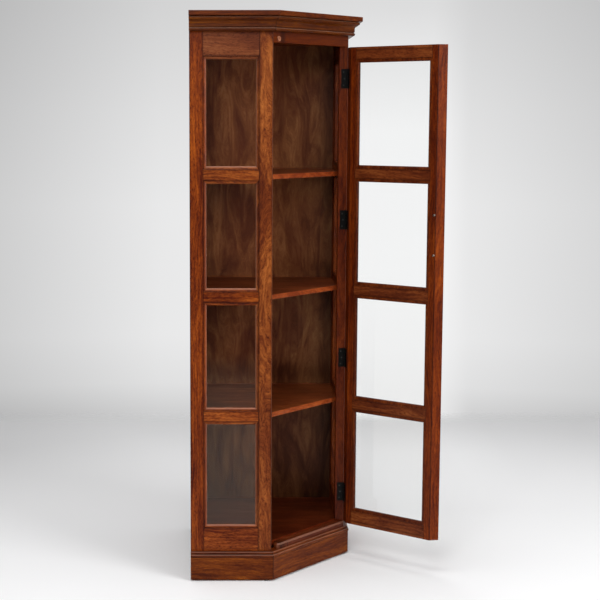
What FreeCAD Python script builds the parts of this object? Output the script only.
import FreeCAD, Part
import os
from math import asin, cos, pi, sin, sqrt, tan
from FreeCAD import Placement, Rotation, Vector

# Corner display bookcase with one hinged glass door.
#
# The plan is a square with its front right corner cut off at 45 degrees. The two sides that
# stand against the walls are solid: the left panel and the back panel. A fixed glazed frame
# stands at the front and another on the right, and the door hangs between them on the
# diagonal. Both long edges of the door are cut at 45 degrees, so that they lie against the
# corner post and the hinge stile. The door stands open.
#
# Millimetres. X runs to the right, Y away from the front, Z up. The pieces are modelled with
# X = 0 on the outside of the left panel, Y = 0 on the face of the front frame and Z = 0 on
# the floor. The origin is then moved to the middle of the whole piece's box, on the floor.

# ---- overall sizes ----
height = 1800.0  # floor to the top of the cap board
wall_side = 512.0  # length of the left side and of the back
short_face = 258.0  # width of the glazed frame on each side of the door
glide_height = 5.0
open_angle = 100.0  # how far the door stands open

# ---- glazed frames and door ----
frame_thick = 28.0
door_thick = 22.0
stile_width = 42.0
rail_height = 34.0  # the rails between panes
frame_bottom_rail = 75.0  # seen above the base moulding
frame_top_rail = 75.0  # seen below the cornice
door_bottom_rail = 46.0
door_top_rail = 40.0
pane_count = 4
lip_width = 10.0  # moulded edge that covers the rim of the glass
lip_set_back = 3.0  # from the face of the frame to the lip
lip_back = 10.0  # from the face of the frame to the glass
lip_edge = 1.5  # flat left on the lip beside the glass
glass_thick = 4.0
glass_play = 1.0  # between the rim of the glass and its rebate
bead_recess = 1.0  # the beads stand below the inner face
bead_chamfer = 3.0
tenon_long = 18.0
tenon_thick = 7.0
tenon_shoulder = 5.0
arris_round = 1.5

# ---- carcass ----
panel_thick = 18.0
panel_tongue = 6.0
back_thick = 15.0
back_rebate = 8.0
board_thick = 18.0  # top board and floor board
shelf_thick = 16.0
wall_housing = 5.0  # depth of the grooves in the left and back panels
frame_housing = 4.0  # depth of the grooves in the frames
shelf_inset = 39.0  # from the diagonal face to the shelves' edges
shelf_round = 2.5

# ---- base, cornice and the strips above and below the door ----
base_board_top = 77.0
base_board_thick = 16.0
low_bead_high = 10.5  # the base moulding's two beads
high_bead_high = 7.5
cap_thick = 15.0
cap_overhang = 44.5
cap_round = 2.0
cornice_bead_high = 10.0
cornice_quirk = 2.0  # small step between the cornice's members
cornice_flat_high = 10.0
cove_radius = 10.0
top_bead_high = 9.0
header_drop = 34.0  # header rail seen below the cornice
sill_rise = 17.0  # sill strip above the base moulding
sill_proud = 6.0  # sill strip in front of the face
sill_bevel = 5.0
sill_end_gap = 8.0  # from the corner post to the strip's round end
door_edge_gap = 1.5  # beside the door's cut edges
door_top_gap = 3.0
door_bottom_gap = 2.0
door_stop_gap = 1.0  # behind the closed door
floor_step = 5.0  # floor board above the sill strip
plug_radius = 8.0
plug_length = 8.0
plug_proud = 4.0
plug_edge = 1.0  # bevel round the plug's face
plug_from_post = 24.0
plug_from_edge = 12.0

# ---- butt hinges ----
hinge_count = 4
hinge_height = 63.5
hinge_inset = 100.0  # from the door's top and bottom edges to the hinges' middles
leaf_width = 21.0  # from the pin to the leaf's edge
leaf_thick = 1.5
leaf_space = 0.8  # between the two leaves of a closed hinge
knuckle_count = 3
knuckle_radius = 3.0
knuckle_play = 0.3
pin_inset = 1.1  # from the hinge post's outer face in to the pin
barrel_play = 0.4  # round the barrel, in its notches
pin_radius = 1.5
pin_play = 0.05

# ---- door pull ----
pull_centres = 128.0
pull_from_arris = 4.5  # from the inner edge of the lock stile's bevel to the screws
pull_height = 1107.5
pull_reach = 30.0
pull_width = 12.0
pull_thick = 8.0  # of the bar, which is bent round to make both legs
pull_inner_bend = 6.0
pull_screw_radius = 2.0
pull_screw_head_radius = 4.0
pull_screw_head_high = 2.4
pull_screw_head_flat = 2.6  # radius of the flat on top of the head
pull_screw_depth = 9.0
pull_hole_play = 0.25

# ---- glides under the corners ----
glide_radius = 8.0

# ---- worked out from the sizes above ----
diagonal = sqrt(2)
cut_leg = wall_side - short_face
cap_bottom = height - cap_thick
base_top = base_board_top + low_bead_high + high_bead_high
cornice_high = cornice_bead_high + cornice_flat_high + cove_radius + top_bead_high + 3 * cornice_quirk
cornice_bottom = cap_bottom - cornice_high
diagonal_thick = frame_thick / diagonal  # strips that end flush with both frames' backs
door_bottom = base_top + sill_rise + door_bottom_gap
door_top = cornice_bottom - header_drop - door_top_gap
door_width = (cut_leg - 2 * door_edge_gap) * diagonal
pin_x = wall_side - pin_inset
pin_y = cut_leg - door_edge_gap / 2
corner_mitre = tan(pi / 8)  # side step of an offset corner, per unit of offset
up = Vector(0, 0, 1)
groove_depth_y = frame_thick - frame_housing

nodes = {}
door_nodes = []


def box(x0, y0, z0, x1, y1, z1):
    """A block between two opposite corners."""
    return Part.makeBox(x1 - x0, y1 - y0, z1 - z0, Vector(x0, y0, z0))


def prism(points, z0, z1):
    """A plan outline raised from z0 to z1."""
    outline = [Vector(x, y, z0) for x, y in points]
    return Part.Face(Part.makePolygon(outline + outline[:1])).extrude(Vector(0, 0, z1 - z0))


def joined(shapes):
    """One solid from several that overlap or touch."""
    whole = shapes[0]
    for shape in shapes[1:]:
        whole = whole.fuse(shape)
    return whole.removeSplitter()


def cylinder(radius, length, start, direction):
    return Part.makeCylinder(radius, length, start, direction)


def rounded(solid, radius, chosen):
    """The solid with a round on each edge whose middle the function chosen accepts."""
    edges = [e for e in solid.Edges if chosen(e.BoundBox.Center, e)]
    return solid.makeFillet(radius, edges)


def upright(edge):
    return edge.BoundBox.XLength < 1e-6 and edge.BoundBox.YLength < 1e-6


def profile_face(steps, place):
    """A face from corners (a, b), where four numbers are an arc's middle and its end.

    place(a, b) gives a corner's point in space.
    """
    edges = []
    here = place(*steps[0])
    for step in steps[1:] + steps[:1]:
        there = place(*step[-2:])
        if len(step) == 4:
            edges.append(Part.Arc(here, place(*step[:2]), there).toShape())
        else:
            edges.append(Part.makeLine(here, there))
        here = there
    return Part.Face(Part.Wire(edges))


# ---- glazed frames: the same make for the front, the right side and the door ----


def lip(place, along, length):
    """Moulded edge of a member: an arc that leaves the member level and ends in a small flat.

    place(u, y) gives the point u into the opening and y in from the face.
    """
    low = lip_back - lip_edge
    drop = low - lip_set_back
    radius = (lip_width**2 + drop**2) / (2 * drop)
    half = asin(lip_width / radius) / 2
    steps = [
        (-tenon_shoulder, lip_set_back),
        (0, lip_set_back),
        (radius * sin(half), lip_set_back + radius * (1 - cos(half)), lip_width, low),
        (lip_width, lip_back),
        (-tenon_shoulder, lip_back),
    ]
    return profile_face(steps, place).extrude(along * length)


def stile(width, thick, z0, z1, left, round_outer):
    """Upright member of a frame of the given width, on its left or its right."""
    x0, x1 = (0, stile_width) if left else (width - stile_width, width)
    outer = x0 if left else x1
    body = box(x0, 0, z0, x1, thick, z1)
    if round_outer:
        body = rounded(body, arris_round, lambda c, e: upright(e) and abs(c.x - outer) < 0.01 and c.y < 0.01)
    inner, way = (x1, 1) if left else (x0, -1)
    edge = lip(lambda u, y: Vector(inner + way * u, y, z0), Vector(0, 0, 1), z1 - z0)
    return joined([body, edge])


def rail(width, thick, z0, z1, lip_below, lip_above):
    """Level member between the stiles, before its ends are fitted to them."""
    x0, x1 = stile_width, width - stile_width
    parts = [box(x0, 0, z0, x1, thick, z1)]
    if lip_below:
        parts.append(lip(lambda u, y: Vector(x0, y, z0 - u), Vector(1, 0, 0), x1 - x0))
    if lip_above:
        parts.append(lip(lambda u, y: Vector(x0, y, z1 + u), Vector(1, 0, 0), x1 - x0))
    return joined(parts)


def tenons(width, z0, z1):
    """The two tongues of a rail that sit in the stiles' mortises."""
    y1 = lip_back + tenon_thick
    low, high = z0 + tenon_shoulder, z1 - tenon_shoulder
    left = box(stile_width - tenon_long, lip_back, low, stile_width, y1, high)
    right_x = width - stile_width
    right = box(right_x, lip_back, low, right_x + tenon_long, y1, high)
    return [left, right]


def bead_slips(x0, x1, z0, z1, thick):
    """Four mitred slips that hold one pane in its rebate."""
    y0, y1 = lip_back + glass_thick, thick - bead_recess
    w = lip_width
    sides = [
        [(x0, z0), (x1, z0), (x1 - w, z0 + w), (x0 + w, z0 + w)],
        [(x0, z1), (x1, z1), (x1 - w, z1 - w), (x0 + w, z1 - w)],
        [(x0, z0), (x0, z1), (x0 + w, z1 - w), (x0 + w, z0 + w)],
        [(x1, z0), (x1, z1), (x1 - w, z1 - w), (x1 - w, z0 + w)],
    ]
    ring = box(x0, y0, z0, x1, y1, z1).cut(box(x0 + w, y0, z0 + w, x1 - w, y1, z1 - w))

    def sight(grown):
        """Outline of the opening, grown on all sides as the chamfer nears the inner face."""
        left, right, low, high = x0 + w - grown, x1 - w + grown, z0 + w - grown, z1 - w + grown
        y = y1 - bead_chamfer + grown
        corners = [(left, low), (right, low), (right, high), (left, high), (left, low)]
        return Part.makePolygon([Vector(x, y, z) for x, z in corners])

    ring = ring.cut(Part.makeLoft([sight(0), sight(bead_chamfer)], True, True))
    slips = []
    for side in sides:
        outline = [Vector(x, y0, z) for x, z in side]
        wedge = Part.Face(Part.makePolygon(outline + outline[:1])).extrude(Vector(0, y1 - y0, 0))
        slips.append(ring.common(wedge))
    return slips


def glazed_frame(width, thick, z0, z1, seen0, seen1, low_rail, high_rail, round_left, round_right):
    """A frame in its own place: X along its width, Y in from its face.

    z0 and z1 are its ends. Its panes are spaced evenly between the two outer rails, which are
    seen between seen0 and seen1. Gives the pieces by name and the panes' gaps between rails.
    """
    first, last = seen0 + low_rail, seen1 - high_rail
    gap = (last - first - (pane_count - 1) * rail_height) / pane_count
    pitch = gap + rail_height
    gaps = [(first + i * pitch, first + i * pitch + gap) for i in range(pane_count)]
    spans = [("bottom_rail", z0, first, False, True)]
    for i in range(1, pane_count):
        spans.append((f"middle_rail_{i}", gaps[i - 1][1], gaps[i][0], True, True))
    spans.append(("top_rail", last, z1, True, False))

    left = stile(width, thick, z0, z1, True, round_left)
    right = stile(width, thick, z0, z1, False, round_right)
    pieces = {}
    sockets = []
    for name, low, high, below, above in spans:
        tongues = tenons(width, low, high)
        body = rail(width, thick, low, high, below, above).cut(left).cut(right)
        pieces[name] = joined([body] + tongues)
        sockets += tongues
    for tongue in sockets:
        left = left.cut(tongue)
        right = right.cut(tongue)
    pieces["left_stile"] = left
    pieces["right_stile"] = right

    x0, x1 = stile_width, width - stile_width
    panes, beads = [], []
    for low, high in gaps:
        p = glass_play
        panes.append(box(x0 + p, lip_back, low + p, x1 - p, lip_back + glass_thick, high - p))
        beads += bead_slips(x0, x1, low, high, thick)
    pieces["glass"] = Part.makeCompound(panes)
    pieces["glass_beads"] = Part.makeCompound(beads)
    return pieces, gaps


def turned(shape, angle, at):
    """The shape turned about the upright line through the origin, then moved to at."""
    moved = shape.copy()
    moved.Placement = Placement(at, Rotation(Vector(0, 0, 1), angle)).multiply(moved.Placement)
    return moved


front, pane_gaps = glazed_frame(
    short_face,
    frame_thick,
    glide_height,
    cap_bottom,
    base_top,
    cornice_bottom,
    frame_bottom_rail,
    frame_top_rail,
    False,
    True,
)
side, _ = glazed_frame(
    short_face,
    frame_thick,
    glide_height,
    cap_bottom,
    base_top,
    cornice_bottom,
    frame_bottom_rail,
    frame_top_rail,
    True,
    False,
)
frame_names = {
    "front": {"left_stile": "front_wall_stile", "right_stile": "corner_post"},
    "side": {"left_stile": "hinge_post", "right_stile": "side_wall_stile"},
}
side_corner = Vector(wall_side, cut_leg, 0)
for piece, shape in front.items():
    nodes[frame_names["front"].get(piece, "front_" + piece)] = shape
for piece, shape in side.items():
    nodes[frame_names["side"].get(piece, "side_" + piece)] = turned(shape, 90, side_corner)


# ---- carcass: panels, boards and shelves ----


def board(x0, y0, x1, y1, inset, z0, z1):
    """Five-sided board whose diagonal edge lies inset behind the diagonal face."""
    line = short_face - inset * diagonal  # x - y along the diagonal edge
    return prism([(x0, y0), (line + y0, y0), (x1, x1 - line), (x1, y1), (x0, y1)], z0, z1)


def slanting(centre, edge):
    """The level edges that run along the diagonal."""
    return min(edge.BoundBox.XLength, edge.BoundBox.YLength) > 1


inner_x0 = panel_thick - wall_housing
inner_y0 = groove_depth_y
inner_x1 = wall_side - groove_depth_y
inner_y1 = wall_side - back_thick + wall_housing

left_panel = box(0, frame_thick, glide_height, panel_thick, wall_side, cap_bottom)
tongue_x0 = (panel_thick - panel_tongue) / 2
left_tongue = box(
    tongue_x0,
    frame_thick - panel_tongue,
    glide_height,
    tongue_x0 + panel_tongue,
    frame_thick,
    cap_bottom,
)
left_panel = joined([left_panel, left_tongue])
back_panel = box(
    panel_thick - back_rebate,
    wall_side - back_thick,
    glide_height,
    wall_side - frame_thick + back_rebate,
    wall_side,
    cap_bottom,
)
left_panel = left_panel.cut(back_panel)

floor_top = base_top + sill_rise + floor_step
floor_inset = door_thick + door_stop_gap
floor_board = board(inner_x0, inner_y0, inner_x1, inner_y1, floor_inset, floor_top - board_thick, floor_top)
top_board = board(
    inner_x0, inner_y0, inner_x1, inner_y1, diagonal_thick, cornice_bottom - board_thick, cornice_bottom
)
boards = {"floor_board": floor_board, "top_board": top_board}
for i in range(1, pane_count):
    shelf_top = (pane_gaps[i - 1][1] + pane_gaps[i][0]) / 2
    shelf = board(inner_x0, inner_y0, inner_x1, inner_y1, shelf_inset, shelf_top - shelf_thick, shelf_top)
    boards[f"shelf_{i}"] = rounded(shelf, shelf_round, slanting)

# The boards' edges are housed in grooves in the panels and in the backs of both frames.
housings = [n for n in nodes if "glass" not in n]
for shape in boards.values():
    left_panel = left_panel.cut(shape)
    back_panel = back_panel.cut(shape)
    for name in housings:
        nodes[name] = nodes[name].cut(shape)
nodes["front_wall_stile"] = nodes["front_wall_stile"].cut(left_tongue)
nodes["side_wall_stile"] = nodes["side_wall_stile"].cut(back_panel)
nodes["left_panel"] = left_panel
nodes["back_panel"] = back_panel
nodes.update(boards)


# ---- strips on the diagonal, above and below the door ----


def diagonal_strip(outer, inner, z0, z1):
    """Strip between the corner post and the hinge post, from one depth behind the face to another."""
    o, i = outer * diagonal, inner * diagonal
    return prism(
        [
            (short_face, o),
            (wall_side - o, cut_leg),
            (wall_side - i, cut_leg),
            (short_face, i),
        ],
        z0,
        z1,
    )


header_bottom = cornice_bottom - header_drop
header_rail = diagonal_strip(0, diagonal_thick, header_bottom, cap_bottom)
sill_board = diagonal_strip(0, diagonal_thick, glide_height, base_top)
sill_strip = diagonal_strip(-sill_proud, floor_inset, base_top, base_top + sill_rise)
sill_strip = sill_strip.common(box(short_face, -short_face, 0, wall_side, cut_leg, height))

# The strip's left end is a half round in plan and stops short of the corner post. Its front
# edge is bevelled, and so is the whole end.
round_radius = (sill_proud + floor_inset) / 2
round_depth = (floor_inset - round_radius) * diagonal  # along X from the face to the centre line
round_x = short_face + sill_end_gap + round_radius
round_centre = Vector(round_x, round_x - short_face + round_depth, base_top)
square_end = box(-wall_side, -floor_inset, 0, 0, floor_inset, sill_rise)
sill_strip = sill_strip.cut(turned(square_end, 45, round_centre))
level_line = [e for e in sill_strip.Edges if e.BoundBox.ZMin > base_top + sill_rise - 0.01]
front_line = max(level_line, key=lambda e: e.BoundBox.Center.x - e.BoundBox.Center.y)
sill_strip = sill_strip.makeChamfer(sill_bevel, [front_line])
bevel_foot = round_centre + up * (sill_rise - sill_bevel)
round_end = cylinder(round_radius, sill_rise - sill_bevel, round_centre, up)
round_bevel = Part.makeCone(round_radius, round_radius - sill_bevel, sill_bevel, bevel_foot, up)
sill_strip = joined([sill_strip, round_end, round_bevel])

# A turned plug covers the screw that holds the header rail to the corner post.
outward = Vector(1, -1, 0) * (1 / diagonal)
plug_place = Vector(short_face, 0, 0) + Vector(plug_from_post, plug_from_post, 0) * (1 / diagonal)
plug_place.z = header_bottom + plug_from_edge
plug_back = plug_place - outward * plug_length
plug_straight = plug_length + plug_proud - plug_edge
plug = cylinder(plug_radius, plug_straight, plug_back, outward)
arris = plug_back + outward * plug_straight
plug = joined([plug, Part.makeCone(plug_radius, plug_radius - plug_edge, plug_edge, arris, outward)])
nodes["header_rail"] = header_rail.cut(plug)
nodes["header_plug"] = plug
nodes["sill_board"] = sill_board
nodes["sill_strip"] = sill_strip


# ---- base boards, base mouldings and cornice: three faces, mitred at the corners ----


def corners(out):
    """The plan's four outer corners on the three open faces, moved out from the frames."""
    along = out * corner_mitre
    return [
        (0, -out),
        (short_face + along, -out),
        (wall_side + out, cut_leg - along),
        (wall_side + out, wall_side),
    ]


def face_strip(face, reach, z0, z1):
    """Block on one face, with mitred ends, that stands out from the frames by reach."""
    near, far = corners(0), corners(reach)
    return prism([near[face], near[face + 1], far[face + 1], far[face]], z0, z1)


def moulding(face, steps, foot):
    """A profile of (distance out, height) steps run along one face from height foot, and mitred."""
    x, y = corners(0)[face]
    place = lambda out, high: Vector(-wall_side, -out, high + foot)
    bar = profile_face(steps, place).extrude(Vector(3 * wall_side, 0, 0))
    bar = turned(bar, 45 * face, Vector(x, y, 0))
    reach = max(step[0] for step in steps)
    return bar.common(face_strip(face, reach, foot, foot + steps[-1][1]))


# Cornice moulding, as (distance out from the frames, height above its foot): a bead, a flat,
# a cove and a second bead under the cap board.
cornice_bead_in, cornice_bead_out = 16.0, 20.5
cornice_flat_out = 19.5
top_bead_in, top_bead_out = 31.0, 35.5
cornice_flat_low = cornice_bead_high + cornice_quirk
cornice_flat_top = cornice_flat_low + cornice_flat_high
cove_out = cornice_flat_out + cove_radius
cove_top = cornice_flat_top + cove_radius
top_bead_low = cove_top + cornice_quirk
top_bead_top = top_bead_low + top_bead_high
cornice_steps = [
    (0.0, 0.0),
    (cornice_bead_in, 0.0),
    (cornice_bead_out, cornice_bead_high / 2, cornice_bead_in, cornice_bead_high),
    (cornice_bead_in, cornice_flat_low),
    (cornice_flat_out, cornice_flat_low),
    (cornice_flat_out, cornice_flat_top),
    (
        cove_out - cove_radius * cos(pi / 4),
        cornice_flat_top + cove_radius * sin(pi / 4),
        cove_out,
        cove_top,
    ),
    (cove_out, top_bead_low),
    (top_bead_in, top_bead_low),
    (top_bead_out, (top_bead_low + top_bead_top) / 2, top_bead_in, top_bead_top),
    (top_bead_in, cornice_high),
    (0.0, cornice_high),
]

# Base moulding: a large bead with a smaller one above it.
low_bead_in, low_bead_out = 13.0, 18.0
high_bead_in, high_bead_out, high_bead_back = 10.5, 12.5, 7.0
base_moulding_high = low_bead_high + high_bead_high
base_steps = [
    (0.0, 0.0),
    (low_bead_in, 0.0),
    (low_bead_out, low_bead_high / 2, low_bead_in, low_bead_high),
    (high_bead_in, low_bead_high),
    (high_bead_out, low_bead_high + high_bead_high / 2, high_bead_back, base_moulding_high),
    (0.0, base_moulding_high),
]


for face, side_name in enumerate(("front", "diagonal", "side")):
    nodes[f"{side_name}_cornice"] = moulding(face, cornice_steps, cornice_bottom)
    nodes[f"{side_name}_base_moulding"] = moulding(face, base_steps, base_board_top)
    nodes[f"{side_name}_base_board"] = face_strip(face, base_board_thick, glide_height, base_board_top)

cap = prism(corners(cap_overhang) + [(0, wall_side)], cap_bottom, height)


def on_cap_front(c, e):
    """The level edges of the cap board on its three open faces."""
    at_wall = c.x < 0.01 or c.y > wall_side - 0.01
    return not upright(e) and not at_wall


nodes["cap_board"] = rounded(cap, cap_round, on_cap_front)


# ---- door, first in its own place with its free edge on the left, then hung ----

door, _ = glazed_frame(
    door_width,
    door_thick,
    door_bottom,
    door_top,
    door_bottom,
    door_top,
    door_bottom_rail,
    door_top_rail,
    False,
    False,
)
door["lock_stile"] = door.pop("left_stile")
door["hinge_stile"] = door.pop("right_stile")
left_wedge = prism([(-1, -1), (door_thick + 1, door_thick + 1), (-1, door_thick + 1)], door_bottom, door_top)
right_wedge = prism(
    [
        (door_width + 1, -1),
        (door_width - door_thick - 1, door_thick + 1),
        (door_width + 1, door_thick + 1),
    ],
    door_bottom,
    door_top,
)
door["lock_stile"] = door["lock_stile"].cut(left_wedge)
door["hinge_stile"] = door["hinge_stile"].cut(right_wedge)

# Bow pull on the outside: a flat bar bent at both ends, held by two screws through the stile.
outside = Vector(0, -1, 0)
pull_x = door_thick + pull_from_arris
screw_heights = [pull_height - pull_centres / 2, pull_height + pull_centres / 2]
foot_z, top_z = screw_heights[0] - pull_thick / 2, screw_heights[1] + pull_thick / 2
outer_bend = pull_inner_bend + pull_thick
bend_out = pull_reach - outer_bend  # where both bends begin, out from the door
inner_reach = pull_reach - pull_thick
outer_soft = outer_bend * (1 - cos(pi / 4))
inner_soft = pull_inner_bend * (1 - cos(pi / 4))
inner_foot, inner_top = foot_z + pull_thick, top_z - pull_thick
pull_steps = [
    (0.0, foot_z),
    (bend_out, foot_z),
    (pull_reach - outer_soft, foot_z + outer_soft, pull_reach, foot_z + outer_bend),
    (pull_reach, top_z - outer_bend),
    (pull_reach - outer_soft, top_z - outer_soft, bend_out, top_z),
    (0.0, top_z),
    (0.0, inner_top),
    (bend_out, inner_top),
    (inner_reach - inner_soft, inner_top - inner_soft, inner_reach, inner_top - pull_inner_bend),
    (inner_reach, inner_foot + pull_inner_bend),
    (inner_reach - inner_soft, inner_foot + inner_soft, bend_out, inner_foot),
    (0.0, inner_foot),
]
pull_side = profile_face(pull_steps, lambda out, z: Vector(pull_x - pull_width / 2, -out, z))
pull = pull_side.extrude(Vector(pull_width, 0, 0))
screws = []
for z in screw_heights:
    inside = Vector(pull_x, door_thick, z)
    shank = cylinder(pull_screw_radius, door_thick + pull_screw_depth, inside, outside)
    head = Part.makeCone(
        pull_screw_head_radius, pull_screw_head_flat, pull_screw_head_high, inside, outside * -1
    )
    screws.append(joined([shank, head]))
    pull = pull.cut(shank)
    hole = cylinder(pull_screw_radius + pull_hole_play, door_thick, inside, outside)
    for piece in [p for p in door if "glass" not in p]:
        door[piece] = door[piece].cut(hole)
door["pull"] = pull
door["pull_screws"] = Part.makeCompound(screws)

door_corner = Vector(short_face + door_edge_gap, door_edge_gap, 0)
for piece, shape in door.items():
    nodes["door_" + piece] = turned(shape, 45, door_corner)
    door_nodes.append("door_" + piece)


# ---- butt hinges, closed: one leaf let into the hinge post, one into the door's cut edge ----


def leaf(z0, y0, indexes):
    """Flat leaf with the knuckles of the given indexes. y0 is the lower Y of the plate."""
    plate_end = pin_x - knuckle_radius - knuckle_play
    pitch = hinge_height / knuckle_count
    parts = [box(pin_x - leaf_width, y0, z0, plate_end, y0 + leaf_thick, z0 + hinge_height)]
    for index in indexes:
        low = z0 + index * pitch + knuckle_play / 2
        high = low + pitch - knuckle_play
        parts.append(box(plate_end - leaf_thick, y0, low, pin_x, y0 + leaf_thick, high))
        parts.append(cylinder(knuckle_radius, high - low, Vector(pin_x, pin_y, low), up))
    return joined(parts)


# The pins are riveted into the post's knuckles and turn in the door's.
post_leaves, door_leaves = [], []
post_y = pin_y + leaf_space / 2
door_y = pin_y - leaf_space / 2 - leaf_thick
first_hinge = door_bottom + hinge_inset
hinge_pitch = (door_top - door_bottom - 2 * hinge_inset) / (hinge_count - 1)
for i in range(hinge_count):
    z0 = first_hinge + i * hinge_pitch - hinge_height / 2
    foot = Vector(pin_x, pin_y, z0 + knuckle_play / 2)
    pin = cylinder(pin_radius, hinge_height - knuckle_play, foot, up)
    bore = cylinder(pin_radius + pin_play, hinge_height, Vector(pin_x, pin_y, z0), up)
    post_leaves.append(joined([leaf(z0, post_y, range(0, knuckle_count, 2)), pin]))
    door_leaves.append(leaf(z0, door_y, range(1, knuckle_count, 2)).cut(bore))
    room = knuckle_radius + barrel_play
    notch = box(pin_x - room, pin_y - room, z0, pin_x + room, pin_y + room, z0 + hinge_height)
    for node, leaf_y in (("hinge_post", post_y), ("door_hinge_stile", door_y)):
        recess = box(pin_x - leaf_width, leaf_y, z0, pin_x, leaf_y + leaf_thick, z0 + hinge_height)
        nodes[node] = nodes[node].cut(recess).cut(notch)
nodes["hinge_post_leaves"] = Part.makeCompound(post_leaves)
nodes["hinge_door_leaves"] = Part.makeCompound(door_leaves)
door_nodes.append("hinge_door_leaves")


# ---- glides under the five corners: the one at the corner post stands the farthest forward ----

half = frame_thick / 2
glide_places = [
    (stile_width / 2, half),
    (short_face - half, -base_board_thick / 3),
    (wall_side - half, cut_leg + half),
    (wall_side - half, wall_side - stile_width / 2),
    (panel_thick / 2, wall_side - stile_width / 2),
]
glides = []
for x, y in glide_places:
    glides.append(cylinder(glide_radius, glide_height, Vector(x, y, 0), up))
nodes["glides"] = Part.makeCompound(glides)


# ---- the door swings open about the hinge pins, and the origin moves to the box's middle ----

pin_line = Vector(pin_x, pin_y, 0)
for name in door_nodes:
    nodes[name].rotate(pin_line, Vector(0, 0, 1), open_angle)

whole = Part.makeCompound(list(nodes.values())).optimalBoundingBox(False, False)
to_origin = Vector(-whole.Center.x, -whole.Center.y, 0)
os.makedirs("parts", exist_ok=True)
for name, shape in sorted(nodes.items()):
    shape.translate(to_origin)
    shape.exportStep(f"parts/{name}.step")

print(f"{len(nodes)} nodes, box {whole.XLength:.2f} x {whole.YLength:.2f} x {whole.ZLength:.2f}")
print(f"hinge line at {pin_x + to_origin.x:.3f}, {pin_y + to_origin.y:.3f}")
print(f"moved by {to_origin.x:.3f}, {to_origin.y:.3f}")
